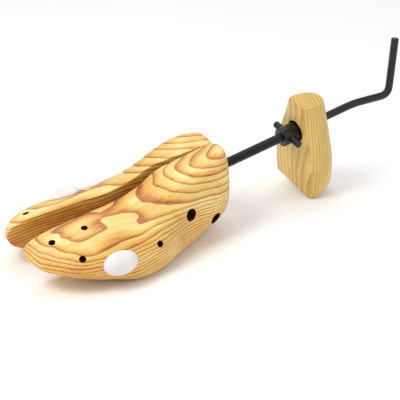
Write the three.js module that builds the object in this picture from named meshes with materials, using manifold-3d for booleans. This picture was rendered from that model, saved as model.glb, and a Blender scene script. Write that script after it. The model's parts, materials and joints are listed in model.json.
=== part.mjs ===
// Two-way shoe stretcher. A wooden foot form is split lengthwise into two halves, hinged near
// the rear. A threaded spindle with a bent crank runs through a nut block on the hinge and pushes
// a crosshead, whose links spread the halves. An adjusting nut pushes a wooden heel block.
//
// Millimetres. +X runs from toe to crank, the near half is on -Y, the sole lies on Z = 0.
// Hardware is drawn in the rod frame: u along the spindle towards the crank from the form's rear
// end, v = Y, w square to both, pointing up. Each half and its hardware are drawn for the near side,
// closed, from the hinge axis; a group swings them open and mirrors them for the far side.
import * as THREE from 'three';
import { mergeVertices } from 'three/addons/utils/BufferGeometryUtils.js';
import Module from 'manifold-3d';

const wasm = await Module();
wasm.setup();

const DEG = Math.PI / 180;
const GAP = 0.3;

// Placing of the form's rear end, which puts the middle of the whole part on X = 0 and Y = 0.
const FORM_REAR_X = 1.2;
const FORM_REAR_Y = 2.2;

// The spindle leaves the form's rear end at this height and climbs towards the crank.
const EXIT_Z = 48.35;
const SPINDLE_TILT = 11 * DEG;

// Hinge of the halves, how far each stands open at rest, and the most it can open.
const HINGE_U = -11;
const REST_SWING = 4.8 * DEG;
const MOST_SWING = 6.9 * DEG;
const FACE_CLEARANCE = 0.2;

// Closed form, as [distance from its rear end, value].
const FORM_LENGTH = 180;
const TOP_LINE = [
  [0, 72.3], [14, 70.2], [40, 66], [60, 62.2], [80, 52.6],
  [99, 47], [128, 43.5], [160, 39.5], [180, 34.5],
];
const SOLE_LINE = [[0, 0], [12, -0.8], [110, -0.8], [130, 0.6], [150, 6.5], [166, 14], [180, 21]];
const HALF_WIDTH = [
  [0, 24.5], [26, 32.5], [46, 34.2], [66, 39], [86, 46.8],
  [108, 49.5], [132, 46.5], [154, 40.8], [180, 34],
];
const WIDEST_HEIGHT = [[0, 37.5], [32, 29.5], [72, 21.5], [112, 17.2], [142, 18.2], [180, 19.2]];
const TOP_FULLNESS = [[0, 2.2], [36, 3.9], [62, 2.3], [102, 1.86], [180, 1.9]];
const REAR_CROWN = [[0, 0], [14, 7.5], [40, 4.4], [66, 0]];
const SOLE_FULLNESS = [[0, 2.2], [30, 1.9], [55, 3.2], [100, 5.2], [132, 2.5], [180, 1.9]];
const REAR_HEIGHT = 42;
const REAR_ROUNDING = { plan: 16, top: 11.5, sole: 41 };
const NOSE_HEIGHT = 28;
const NOSE_ROUNDING = { plan: 34, side: 6 };
const FORM_STATIONS = 32;
const FORM_SECTION_STEPS = 16;

// Thread and cranked end of the spindle.
const THREAD_RADIUS = 4;
const THREAD_END_U = 86;
const JOURNAL_RADIUS = 2.5;
const SHANK_RADIUS = 3.25;
const FIRST_BEND = { u: 135.3, cutBack: 8 };
const SECOND_BEND = { cutBack: 8 };
const CRANK_ARM = { length: 37.5, slope: 1 * DEG };
const CRANK_HANDLE = { length: 49.5, slope: 86 * DEG };

// Spreader linkage, from the hinge axis.
const ANCHOR = { reach: 72, offset: 14 };
const LINK = { length: 28, thick: 1.5, eyeRadius: 3.7, boreRadius: 2.35, waist: 2.8 };
const PIN_RADIUS = 2;
const PIN_HEAD = { radius: 3.3, thick: 1 };
const CROSSHEAD = { halfLength: 5, halfWidth: 6, halfHeight: 5 };
const COLLAR = { radius: 4.6, length: 3 };
const INNER_LINK_W = CROSSHEAD.halfHeight + GAP;
const OUTER_LINK_W = INNER_LINK_W + LINK.thick + GAP;
const STACK_W = OUTER_LINK_W + LINK.thick + GAP;

// Hinge: nut block with two pins, and a leaf in each half with two knuckles and two bolts.
const NUT_BLOCK = { halfLength: 5.5, halfWidth: 6.4, halfHeight: 8.6 };
const LEAF = { inner: 7.3, thick: 2.4, front: -48, rear: -3.5, low: -15, high: 12.5 };
const LEAF_TAIL = { from: -26.3, to: -14.3, low: -27.5 };
const KNUCKLE = { radius: 4.2, thick: 2.5, inner: 9, outer: 12 };
const HINGE_PIN_END = 15;
const BOLT_PLACES = [{ u: -44.6, w: -3.4, floor: -16 }, { u: -20.3, w: -21.5, floor: -14 }];
const BOLT = { headRadius: 4.3, headLength: 3.5, shankRadius: 2.2, wellRadius: 5, shankHole: 2.6 };

// Anchor bracket of the links, screwed to the floor of the pocket.
const BRACKET = {
  halfLength: 9,
  halfHeight: 4.4,
  thick: 1.8,
  floor: -20.7,
  lugEnd: -10.6,
  lugHalfWidth: 4.5,
};
const SCREW = { headRadius: 2.6, headLength: 1.4, shankRadius: 1.4, length: 8, spacing: 6 };
const POCKET = { overInner: 7.6, overOuter: 10.2, depth: 21, end: -84 };

// Adjusting nut with two pegs, and its washer.
const NUT = { front: 59.3, length: 22.5, radius: 8 };
const PEG = { u: 66.7, radius: 3, inner: 5.4, reach: 16.3, bevel: 0.6 };
const WASHER = { radius: 8.8, thick: 2 };
const BLOCK_ROLL = 14.5 * DEG;

// Heel block, square to the spindle: [height above the spindle axis, value].
const BLOCK = { front: 74.7, bottom: -59.3, top: 28.7, boreRadius: 5.75, counterboreRadius: 9.4 };
const BLOCK_HALF_WIDTH = [[-59.3, 24], [-50, 26.5], [-34, 26.5], [-12, 22.5], [12, 15], [28.7, 10.5]];
const BLOCK_DEPTH = [[-59.3, 25], [-50, 30.5], [-34, 31], [-8, 29], [14, 27], [28.7, 24]];
const BLOCK_TOP_FALL = 9 * DEG;
const BLOCK_LEAD = 0.26;
const BLOCK_FULLNESS = 2.3;

// Side plugs, and the peg holes that take them: [distance, turn round the section from the top].
const PEG_HOLE = { radius: 2.65, depth: 12 };
const PLUG = { halfLength: 13.8, halfHeight: 9, rise: 5.5, stemRadius: 2.3, stemLength: 9 };
const NEAR_PLUG = [126, 80 * DEG];
const FAR_PLUG = [124, 33 * DEG];
const NEAR_PEG_HOLES = [[136.5, 21 * DEG], [163.5, 26 * DEG], [151.5, 62 * DEG], [90.5, 76 * DEG]];
const FAR_PEG_HOLES = [[160.5, 20 * DEG], [151.5, 62 * DEG], [90.5, 76 * DEG]];

const PINE = 0xe2b765;
const PINE_BLOCK = 0xd9b266;
const BLACK_STEEL = 0x17181a;
const ZINC_STEEL = 0x9a9c9e;
const WHITE_PLASTIC = 0xf3efec;

// ---------------------------------------------------------------- solids

function toSolid(geometry) {
  const bare = geometry.clone();
  bare.deleteAttribute('normal');
  bare.deleteAttribute('uv');
  const merged = mergeVertices(bare, 1e-4);
  const vertProperties = new Float32Array(merged.attributes.position.array);
  const triVerts = new Uint32Array(merged.index.array);
  return new wasm.Manifold(new wasm.Mesh({ numProp: 3, vertProperties, triVerts }));
}

function toGeometry(solid) {
  const mesh = solid.getMesh();
  const geometry = new THREE.BufferGeometry();
  geometry.setAttribute('position', new THREE.BufferAttribute(new Float32Array(mesh.vertProperties), 3));
  geometry.setIndex(new THREE.BufferAttribute(new Uint32Array(mesh.triVerts), 1));
  geometry.computeVertexNormals();
  return geometry;
}

function join(...geometries) {
  return toGeometry(geometries.map(toSolid).reduce((sum, next) => sum.add(next)));
}

function cut(geometry, ...cutters) {
  return toGeometry(cutters.reduce((rest, cutter) => rest.subtract(toSolid(cutter)), toSolid(geometry)));
}

function box(low, high) {
  const size = high.map((value, i) => value - low[i]);
  const middle = high.map((value, i) => (value + low[i]) / 2);
  return new THREE.BoxGeometry(...size).translate(...middle);
}

// A cylinder along one axis between two places on it. (a, b) is its centre across that axis.
function cylinder(axis, radius, from, to, a = 0, b = 0, sides = 24) {
  const geometry = new THREE.CylinderGeometry(radius, radius, Math.abs(to - from), sides);
  const middle = (from + to) / 2;
  if (axis === 'x') return geometry.rotateZ(-Math.PI / 2).translate(middle, a, b);
  if (axis === 'y') return geometry.translate(a, middle, b);
  return geometry.rotateX(Math.PI / 2).translate(a, b, middle);
}

// A turned piece: an outline of [radius, height] about the Z axis, from bottom to top.
function turned(outline, sides = 24) {
  const points = outline.map(([r, z]) => new THREE.Vector2(r, z));
  return new THREE.LatheGeometry(points, sides).rotateX(Math.PI / 2);
}

const power = (value, exponent) => Math.sign(value) * Math.abs(value) ** exponent;

// Smooth curve through hand-set points that never overshoots them.
function profile(points) {
  const last = points.length - 1;
  const grade = points.slice(1).map(([x, y], i) => (y - points[i][1]) / (x - points[i][0]));
  const slopes = points.map((_, i) => {
    if (i === 0) return grade[0];
    if (i === last) return grade[last - 1];
    const [left, right] = [grade[i - 1], grade[i]];
    return left * right > 0 ? (2 * left * right) / (left + right) : 0;
  });
  return (at) => {
    const i = Math.min(Math.max(points.findIndex(([x]) => at <= x), 1), last) - 1;
    const from = at > points[last][0] ? last - 1 : i;
    const span = points[from + 1][0] - points[from][0];
    const t = Math.min(Math.max((at - points[from][0]) / span, 0), 1);
    const ease = t * t * (3 - 2 * t);
    const lean = span * t * (1 - t) * ((1 - t) * slopes[from] - t * slopes[from + 1]);
    return points[from][1] * (1 - ease) + points[from + 1][1] * ease + lean;
  };
}

// Grows from 0 at an end to 1 at the given length from it, as a quarter of a superellipse.
function roundOff(distance, length, fullness = 2) {
  const t = Math.min(Math.max(distance / length, 0), 1);
  return (1 - (1 - t) ** fullness) ** (1 / fullness);
}

// A closed skin over rings of equal length; the ends are single points or flat caps.
function skin(rings, startPoint, endPoint) {
  const size = rings[0].length;
  const points = [...rings.flat(), startPoint, endPoint];
  const start = points.length - 2;
  const end = points.length - 1;
  const index = [];
  for (let j = 0; j < size; j++) {
    const k = (j + 1) % size;
    const top = (rings.length - 1) * size;
    index.push(start, k, j, end, top + j, top + k);
    for (let i = 0; i + 1 < rings.length; i++) {
      const a = i * size;
      const b = a + size;
      index.push(a + j, a + k, b + j, a + k, b + k, b + j);
    }
  }
  const geometry = new THREE.BufferGeometry();
  const numbers = points.flatMap((p) => [p.x, p.y, p.z]);
  geometry.setAttribute('position', new THREE.Float32BufferAttribute(numbers, 3));
  geometry.setIndex(index);
  return geometry;
}

// ---------------------------------------------------------------- foot form

const rodFrame = new THREE.Matrix4().makeRotationY(-SPINDLE_TILT).setPosition(0, 0, EXIT_Z);
const hingeFrame = rodFrame.clone().multiply(new THREE.Matrix4().makeTranslation(HINGE_U, 0, 0));
const formToHinge = hingeFrame.clone().invert();

const formTop = profile(TOP_LINE);
const formSole = profile(SOLE_LINE);
const formWidth = profile(HALF_WIDTH);
const formWidest = profile(WIDEST_HEIGHT);
const topFullness = profile(TOP_FULLNESS);
const rearCrown = profile(REAR_CROWN);
const soleFullness = profile(SOLE_FULLNESS);

// Cross-section of the closed form. At both ends its lines close on a point.
function formSection(distance) {
  const toToe = FORM_LENGTH - distance;
  const rear = distance < FORM_LENGTH / 2;
  const endHeight = rear ? REAR_HEIGHT : NOSE_HEIGHT;
  const upper = rear ? roundOff(distance, REAR_ROUNDING.top) : roundOff(toToe, NOSE_ROUNDING.side);
  const lower = rear ? roundOff(distance, REAR_ROUNDING.sole) : roundOff(toToe, NOSE_ROUNDING.side);
  const plan = rear ? roundOff(distance, REAR_ROUNDING.plan) : roundOff(toToe, NOSE_ROUNDING.plan, 2.1);
  const widest = formWidest(distance);
  return {
    top: endHeight + (formTop(distance) - endHeight) * upper,
    sole: endHeight + (formSole(distance) - endHeight) * lower,
    widest: endHeight + (widest - endHeight) * (widest > endHeight ? upper : lower),
    width: formWidth(distance) * plan,
    crown: rearCrown(distance),
    topPower: 2 / topFullness(distance),
    solePower: 2 / soleFullness(distance),
  };
}

// Point on the outer surface. The turn runs from 0 on the top line to pi on the sole line.
function formPoint(distance, turn) {
  const s = formSection(distance);
  const upper = turn <= Math.PI / 2;
  const exponent = upper ? s.topPower : s.solePower;
  const rise = upper ? s.top - s.widest : s.widest - s.sole;
  const out = s.width * Math.max(power(Math.sin(turn), exponent), 0);
  const crown = upper ? s.crown * Math.sin(2 * turn) : 0;
  return new THREE.Vector3(-distance, -out, s.widest + rise * power(Math.cos(turn), exponent) + crown);
}

function formNormal(distance, turn) {
  const along = formPoint(distance + 0.5, turn).sub(formPoint(distance - 0.5, turn));
  const around = formPoint(distance, turn + 0.02).sub(formPoint(distance, turn - 0.02));
  return along.cross(around).normalize();
}

// One side of the closed form, as rings from the rear end to the nose.
function formSide() {
  const rings = [];
  for (let i = 1; i < FORM_STATIONS; i++) {
    const even = i / FORM_STATIONS;
    const eased = (1 - Math.cos(Math.PI * even)) / 2;
    const distance = FORM_LENGTH * (0.6 * eased + 0.4 * even);
    const steps = Array.from({ length: FORM_SECTION_STEPS + 1 }, (_, j) => j / FORM_SECTION_STEPS);
    rings.push(steps.map((step) => formPoint(distance, Math.PI * (1 - step))));
  }
  return skin(rings, new THREE.Vector3(0, 0, REAR_HEIGHT), new THREE.Vector3(-FORM_LENGTH, 0, NOSE_HEIGHT));
}

// Frame on the surface: X along the form, Z straight out of the wood.
function surfaceFrame([distance, turn]) {
  const outward = formNormal(distance, turn);
  const across = new THREE.Vector3().crossVectors(outward, new THREE.Vector3(1, 0, 0)).normalize();
  const along = new THREE.Vector3().crossVectors(across, outward);
  const frame = new THREE.Matrix4().makeBasis(along, across, outward);
  return formToHinge.clone().multiply(frame.setPosition(formPoint(distance, turn)));
}

function pegHole(place) {
  return cylinder('z', PEG_HOLE.radius, -PEG_HOLE.depth, 8, 0, 0, 16).applyMatrix4(surfaceFrame(place));
}

// The flat faces never touch: in front they keep a clearance, behind the hinge they lean back.
function facePlanes() {
  const front = box([-250, -FACE_CLEARANCE, -120], [0, 60, 120]);
  const behind = box([-1, 0, -120], [60, 60, 120]).rotateZ(-MOST_SWING).translate(0, -FACE_CLEARANCE, 0);
  return [front, behind];
}

// Room for the spindle, the hinge, the leaf and its bolts, the crosshead, the links and bracket.
function hardwareRoom(linkLow, linkHigh) {
  const leafRoom = LEAF.inner + LEAF.thick + GAP;
  const crossheadRoom = POCKET.overOuter;
  const bolts = BOLT_PLACES.flatMap(({ u, w, floor }) => [
    cylinder('y', BOLT.wellRadius, -60, floor, u, w, 20),
    cylinder('y', BOLT.shankHole, -60, 0, u, w, 12),
  ]);
  const screws = [-1, 1].map((way) => {
    const u = way * SCREW.spacing - ANCHOR.reach;
    return cylinder('y', SCREW.shankRadius + GAP, BRACKET.floor - SCREW.length - 1, 0, u, 0, 12);
  });
  return [
    cylinder('x', THREAD_RADIUS + 2.3, -62, 40),
    box([-7, -leafRoom, -HINGE_PIN_END - 1], [6, 1, HINGE_PIN_END + 1]),
    box([LEAF.front - 0.5, -leafRoom, LEAF.low - 0.5], [0, 1, LEAF.high + 0.5]),
    box([LEAF_TAIL.from - 0.5, -leafRoom, LEAF_TAIL.low - 0.5], [LEAF_TAIL.to + 0.5, 1, 0]),
    box([-64, -leafRoom - 1, -crossheadRoom], [LEAF.front, 1, crossheadRoom]),
    box([POCKET.end, -POCKET.depth, linkLow], [-58, 1, linkHigh]),
    ...bolts,
    ...screws,
  ];
}

function half(pegPlaces, linkLow, linkHigh) {
  const wood = formSide().applyMatrix4(formToHinge);
  const sole = hingeFrame.clone().multiply(new THREE.Matrix4().makeRotationZ(REST_SWING)).invert();
  const underFloor = box([-300, -150, -60], [100, 150, 0]).applyMatrix4(sole);
  const room = hardwareRoom(linkLow, linkHigh);
  return cut(wood, ...facePlanes(), underFloor, ...room, ...pegPlaces.map(pegHole));
}

// An oval dome whose back follows the wood, with a stem for a peg hole.
function plug(place) {
  const frame = surfaceFrame(place);
  const dome = new THREE.SphereGeometry(1, 20, 10).scale(PLUG.halfLength, PLUG.halfHeight, PLUG.rise);
  const wood = formSide().applyMatrix4(formToHinge).applyMatrix4(frame.clone().invert());
  wood.translate(0, 0, GAP);
  const cap = toSolid(dome).subtract(toSolid(wood));
  const stem = toSolid(cylinder('z', PLUG.stemRadius, -PLUG.stemLength, PLUG.rise / 2, 0, 0, 16));
  return toGeometry(cap.add(stem)).applyMatrix4(frame);
}

// ---------------------------------------------------------------- hinge

// A plate on the floor of the half's recess, with two knuckles on the hinge pins and a tail.
function leaf(upper, lower) {
  const back = -LEAF.inner - LEAF.thick;
  const plate = (u0, u1, w0, w1) => box([u0, back, w0], [u1, -LEAF.inner, w1]);
  const knuckles = [upper, -lower - KNUCKLE.thick].flatMap((w) => [
    cylinder('z', KNUCKLE.radius, w, w + KNUCKLE.thick),
    box([-KNUCKLE.radius, back, w], [LEAF.rear, -1, w + KNUCKLE.thick]),
    box([-KNUCKLE.radius, -LEAF.inner - 0.1, w], [KNUCKLE.radius, -1, w + KNUCKLE.thick]),
  ]);
  const body = join(
    plate(LEAF.front, LEAF.rear + 4, LEAF.low, LEAF.high),
    plate(LEAF_TAIL.from, LEAF_TAIL.to, LEAF_TAIL.low, LEAF.low + 1),
    ...knuckles,
  );
  const bores = BOLT_PLACES.map(({ u, w }) => cylinder('y', BOLT.shankRadius + GAP, -20, 0, u, w, 16));
  return cut(body, cylinder('z', PIN_RADIUS + GAP, -40, 40), ...bores);
}

function leafBolt({ u, w, floor }) {
  const head = cylinder('y', BOLT.headRadius, floor - GAP - BOLT.headLength, floor - GAP, u, w, 20);
  const shank = cylinder('y', BOLT.shankRadius, floor - GAP - 1, -LEAF.inner + 0.6, u, w, 16);
  const socket = cylinder('y', 1.9, floor - 10, floor - GAP - BOLT.headLength + 2, u, w, 6);
  return cut(join(head, shank), socket);
}

function nutBlock() {
  const { halfLength, halfWidth, halfHeight } = NUT_BLOCK;
  const body = box([-halfLength, -halfWidth, -halfHeight], [halfLength, halfWidth, halfHeight]);
  const sockets = [-1, 1].map((way) => cylinder('z', PIN_RADIUS + GAP, way * 5.4, way * 20));
  return cut(body, cylinder('x', THREAD_RADIUS + GAP, -20, 20), ...sockets);
}

function hingePin() {
  const tip = HINGE_PIN_END - 0.6;
  return turned([[0, 5.8], [PIN_RADIUS, 5.8], [PIN_RADIUS, tip], [1.4, HINGE_PIN_END], [0, HINGE_PIN_END]]);
}

// ---------------------------------------------------------------- spreader linkage

// The anchor's place with the half open at rest, and the crosshead pivot that it gives.
const anchorAtRest = {
  u: ANCHOR.offset * Math.sin(REST_SWING) - ANCHOR.reach * Math.cos(REST_SWING),
  v: ANCHOR.reach * Math.sin(REST_SWING) + ANCHOR.offset * Math.cos(REST_SWING),
};
const LINK_ANGLE = Math.asin(anchorAtRest.v / LINK.length);
const CROSSHEAD_U = anchorAtRest.u + LINK.length * Math.cos(LINK_ANGLE);

// A flat bar with two eyes, lying from its first eye towards the toe.
function link() {
  const eyes = [0, -LINK.length].map((u) => cylinder('z', LINK.eyeRadius, 0, LINK.thick, u, 0));
  const bores = [0, -LINK.length].map((u) => cylinder('z', LINK.boreRadius, -1, LINK.thick + 1, u, 0));
  return cut(join(...eyes, box([-LINK.length, -LINK.waist, 0], [0, LINK.waist, LINK.thick])), ...bores);
}

function crosshead() {
  const { halfLength, halfWidth, halfHeight } = CROSSHEAD;
  const body = box([-halfLength, -halfWidth, -halfHeight], [halfLength, halfWidth, halfHeight]);
  const sockets = [-1, 1].map((way) => cylinder('z', PIN_RADIUS + GAP, way * 3.3, way * 20));
  return cut(body, cylinder('x', JOURNAL_RADIUS + GAP, -20, 20), ...sockets);
}

// A headed stud that holds both links of one level on the crosshead.
function linkStud() {
  const top = STACK_W + PIN_HEAD.thick;
  const head = [[PIN_HEAD.radius, STACK_W], [PIN_HEAD.radius, top], [0, top]];
  return turned([[0, 3.6], [PIN_RADIUS, 3.6], [PIN_RADIUS, STACK_W], ...head]);
}

// The pin through both lugs and both links of a side. Its head is outside the outer link.
function anchorPin() {
  const bottom = -STACK_W - PIN_HEAD.thick;
  const head = [[0, bottom], [PIN_HEAD.radius, bottom], [PIN_HEAD.radius, -STACK_W]];
  return turned([...head, [PIN_RADIUS, -STACK_W], [PIN_RADIUS, OUTER_LINK_W], [0, OUTER_LINK_W]]);
}

// A channel with two lugs, open towards the middle of the form.
function bracket() {
  const { halfLength, halfHeight, thick, floor, lugEnd, lugHalfWidth } = BRACKET;
  const block = box([-halfLength, floor, -halfHeight], [halfLength, lugEnd, halfHeight]);
  const top = floor + thick;
  const between = halfHeight - thick;
  const inside = box([-halfLength - 1, top, -between], [halfLength + 1, 0, between]);
  const besideLugs = [[-20, -lugHalfWidth], [lugHalfWidth, 20]];
  const lugEnds = besideLugs.map(([from, to]) => box([from, top, -20], [to, 0, 20]));
  const hole = SCREW.shankRadius + GAP;
  const screwHoles = [-1, 1].map((way) => cylinder('y', hole, -40, 0, way * SCREW.spacing, 0, 12));
  const bore = cylinder('z', PIN_RADIUS + GAP, -20, 20, 0, -ANCHOR.offset);
  return cut(block, inside, ...lugEnds, ...screwHoles, bore);
}

// A slotted wood screw through the bracket's floor.
function bracketScrew() {
  const seat = BRACKET.floor + BRACKET.thick + GAP;
  const head = cylinder('y', SCREW.headRadius, seat, seat + SCREW.headLength, 0, 0, 16);
  const shank = cylinder('y', SCREW.shankRadius, BRACKET.floor - SCREW.length, seat + 0.2, 0, 0, 12);
  return cut(join(head, shank), box([-0.4, seat + 0.7, -5], [0.4, seat + 5, 5]));
}

// ---------------------------------------------------------------- spindle, nut and heel block

// Centre line of the cranked end, in the rod frame, from inside the thread to the handle's end.
function crankLine() {
  const way = (slope) => {
    const turn = slope - SPINDLE_TILT;
    return new THREE.Vector3(Math.cos(turn), 0, Math.sin(turn));
  };
  const corners = [
    new THREE.Vector3(THREAD_END_U - 1, 0, 0),
    new THREE.Vector3(FIRST_BEND.u, 0, 0),
  ];
  corners.push(corners[1].clone().addScaledVector(way(CRANK_ARM.slope), CRANK_ARM.length));
  corners.push(corners[2].clone().addScaledVector(way(CRANK_HANDLE.slope), CRANK_HANDLE.length));
  const line = new THREE.CurvePath();
  let from = corners[0];
  [FIRST_BEND, SECOND_BEND].forEach(({ cutBack }, i) => {
    const corner = corners[i + 1];
    const start = corner.clone().lerp(corners[i], cutBack / corner.distanceTo(corners[i]));
    const stop = corner.clone().lerp(corners[i + 2], cutBack / corner.distanceTo(corners[i + 2]));
    line.add(new THREE.LineCurve3(from, start));
    line.add(new THREE.QuadraticBezierCurve3(start, corner, stop));
    from = stop;
  });
  line.add(new THREE.LineCurve3(from, corners[3]));
  return line;
}

const TIP_U = HINGE_U + CROSSHEAD_U - CROSSHEAD.halfLength - GAP - COLLAR.length - 0.5;
const SHOULDER_U = HINGE_U + CROSSHEAD_U + CROSSHEAD.halfLength + GAP;

function spindle() {
  const section = new THREE.Shape().absarc(0, 0, SHANK_RADIUS, 0, 2 * Math.PI);
  const bar = new THREE.ExtrudeGeometry(section, { steps: 38, curveSegments: 9, extrudePath: crankLine() });
  return join(
    cylinder('x', JOURNAL_RADIUS, TIP_U, SHOULDER_U + 1, 0, 0, 20),
    cylinder('x', THREAD_RADIUS, SHOULDER_U, THREAD_END_U, 0, 0, 28),
    bar,
  );
}

function tipCollar() {
  const ring = cylinder('x', COLLAR.radius, TIP_U + 0.5, TIP_U + 0.5 + COLLAR.length, 0, 0, 28);
  return cut(ring, cylinder('x', JOURNAL_RADIUS + GAP, TIP_U - 5, TIP_U + 10));
}

function nutHub() {
  const end = NUT.front + NUT.length;
  const body = turned([
    [0, NUT.front], [NUT.radius - 0.8, NUT.front], [NUT.radius, NUT.front + 0.8], [NUT.radius, end - 5],
    [NUT.radius - 0.9, end - 4.6], [NUT.radius - 0.9, end], [0, end],
  ], 32).rotateY(Math.PI / 2);
  const bottom = PEG.inner - GAP;
  const sockets = [-1, 1].map((way) => cylinder('y', PEG.radius + GAP, way * bottom, way * 20, PEG.u, 0, 20));
  return cut(body, cylinder('x', THREAD_RADIUS + GAP, 0, 100), ...sockets);
}

function nutPeg() {
  const edge = PEG.reach - PEG.bevel;
  const end = [[PEG.radius, edge], [PEG.radius - PEG.bevel, PEG.reach], [0, PEG.reach]];
  const outline = [[0, PEG.inner], [PEG.radius, PEG.inner], ...end];
  return turned(outline, 20).rotateX(Math.PI / 2).translate(PEG.u, 0, 0);
}

const WASHER_U = NUT.front + NUT.length + GAP;

function washer() {
  const ring = cylinder('x', WASHER.radius, WASHER_U, WASHER_U + WASHER.thick, 0, 0, 32);
  return cut(ring, cylinder('x', THREAD_RADIUS + 2 * GAP, 0, 100));
}

// Flat front, rounded back. The sections stand on one another along the block's height.
function heelBlock() {
  const width = profile(BLOCK_HALF_WIDTH);
  const depth = profile(BLOCK_DEPTH);
  const levels = 14;
  const around = 28;
  const ring = (level) => {
    const w = BLOCK.bottom + (BLOCK.top - BLOCK.bottom) * level;
    const lead = BLOCK_LEAD * depth(w);
    return Array.from({ length: around }, (_, j) => {
      const turn = (2 * Math.PI * j) / around;
      const along = power(Math.cos(turn), 2 / BLOCK_FULLNESS);
      const reach = along > 0 ? depth(w) - lead : 2.2 * lead;
      const across = width(w) * power(Math.sin(turn), 2 / BLOCK_FULLNESS);
      return new THREE.Vector3(BLOCK.front + lead + reach * along, across, w);
    });
  };
  const rings = Array.from({ length: levels + 1 }, (_, i) => ring(i / levels));
  const cap = (w) => new THREE.Vector3(BLOCK.front + BLOCK_LEAD * depth(w), 0, w);
  const body = skin(rings, cap(BLOCK.bottom), cap(BLOCK.top));
  const floor = WASHER_U + WASHER.thick + GAP;
  return cut(
    body,
    box([0, -60, -90], [BLOCK.front, 60, 60]),
    box([-10, -60, 0], [60, 60, 30]).rotateY(BLOCK_TOP_FALL).translate(BLOCK.front, 0, BLOCK.top),
    cylinder('x', BLOCK.boreRadius, 0, 200),
    cylinder('x', BLOCK.counterboreRadius, 0, floor, 0, 0, 32),
  );
}

// ---------------------------------------------------------------- assembly

function mesh(name, geometry, color, roughness, metalness, flat = true) {
  const material = new THREE.MeshStandardMaterial({ color, roughness, metalness, flatShading: flat });
  const made = new THREE.Mesh(geometry, material);
  made.name = name;
  return made;
}

const wooden = (name, geometry, color = PINE) => mesh(name, geometry, color, 0.45, 0);
const blackened = (name, geometry) => mesh(name, geometry, BLACK_STEEL, 0.42, 0.6);
const zinced = (name, geometry) => mesh(name, geometry, ZINC_STEEL, 0.35, 0.9);

function frame(parent, { u = 0, w = 0, swing = 0, mirror = false, roll = 0 }) {
  const made = new THREE.Group();
  made.position.set(u, 0, w);
  made.rotation.set(roll, 0, mirror ? -swing : swing);
  made.scale.y = mirror ? -1 : 1;
  parent.add(made);
  return made;
}

const stretcher = new THREE.Group();
const rod = new THREE.Group();
rod.position.set(FORM_REAR_X, FORM_REAR_Y, EXIT_Z);
rod.rotation.y = -SPINDLE_TILT;
stretcher.add(rod);

// One half with everything that swings with it. On the near side the outer links are on top.
function addSide(name, mirror, pegPlaces, plugPlace) {
  const hinged = frame(rod, { u: HINGE_U, swing: REST_SWING, mirror });
  const anchored = frame(hinged, { u: -ANCHOR.reach });
  const [low, high] = mirror ? [POCKET.overOuter, POCKET.overInner] : [POCKET.overInner, POCKET.overOuter];
  const [upper, lower] = mirror ? [KNUCKLE.outer, KNUCKLE.inner] : [KNUCKLE.inner, KNUCKLE.outer];
  hinged.add(wooden(`${name}_half`, half([...pegPlaces, plugPlace], -low, high)));
  hinged.add(mesh(`${name}_plug`, plug(plugPlace), WHITE_PLASTIC, 0.25, 0));
  hinged.add(zinced(`${name}_hinge_leaf`, leaf(upper, lower)));
  BOLT_PLACES.forEach((place, i) => hinged.add(zinced(`${name}_leaf_bolt_${i + 1}`, leafBolt(place))));
  anchored.add(zinced(`${name}_anchor_bracket`, bracket()));
  const pin = zinced(`${name}_anchor_pin`, anchorPin());
  pin.position.y = -ANCHOR.offset;
  pin.rotation.x = mirror ? 0 : Math.PI;
  anchored.add(pin);
  [-1, 1].forEach((way, i) => {
    const screw = zinced(`${name}_bracket_screw_${i + 1}`, bracketScrew());
    screw.position.x = way * SCREW.spacing;
    anchored.add(screw);
  });
  const linked = frame(rod, { u: HINGE_U + CROSSHEAD_U, swing: LINK_ANGLE, mirror });
  const upperLink = zinced(`${name}_link_upper`, link());
  const lowerLink = zinced(`${name}_link_lower`, link());
  upperLink.position.z = mirror ? INNER_LINK_W : OUTER_LINK_W;
  lowerLink.position.z = -LINK.thick - (mirror ? OUTER_LINK_W : INNER_LINK_W);
  linked.add(upperLink, lowerLink);
}

// Two copies of a piece, above and below the spindle.
function addPair(parent, names, build) {
  names.forEach((name, i) => {
    const piece = zinced(name, build());
    piece.rotation.x = i * Math.PI;
    parent.add(piece);
  });
}

addSide('near', false, NEAR_PEG_HOLES, NEAR_PLUG);
addSide('far', true, FAR_PEG_HOLES, FAR_PLUG);

const hinge = frame(rod, { u: HINGE_U });
hinge.add(zinced('hinge_nut_block', nutBlock()));
addPair(hinge, ['hinge_pin_upper', 'hinge_pin_lower'], hingePin);

const pushed = frame(rod, { u: HINGE_U + CROSSHEAD_U });
pushed.add(zinced('crosshead', crosshead()));
addPair(pushed, ['link_stud_upper', 'link_stud_lower'], linkStud);

rod.add(blackened('crank_spindle', spindle()));
rod.add(zinced('spindle_tip_collar', tipCollar()));
rod.add(blackened('thrust_washer', washer()));

const rolled = frame(rod, { roll: BLOCK_ROLL });
rolled.add(wooden('heel_block', heelBlock(), PINE_BLOCK));
rolled.add(blackened('nut_hub', nutHub()));
rolled.add(blackened('nut_peg_far', nutPeg()));
rolled.add(blackened('nut_peg_near', nutPeg().rotateX(Math.PI)));

export default stretcher;
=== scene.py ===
"""A two-way shoe stretcher: split wooden form, cranked spindle, nut, heel block and side plugs.

Metres and the row frame: +X from toe to crank, +Z up, the near half on -Y, soles on Z = 0.
Shapes are worked out in millimetres in the rod frame: u along the spindle from the form's rear
end towards the crank, v = Y, w square to both. MM turns them into metres.
"""

import json
import math

import bmesh
import bpy
from mathutils import Matrix, Vector


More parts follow.
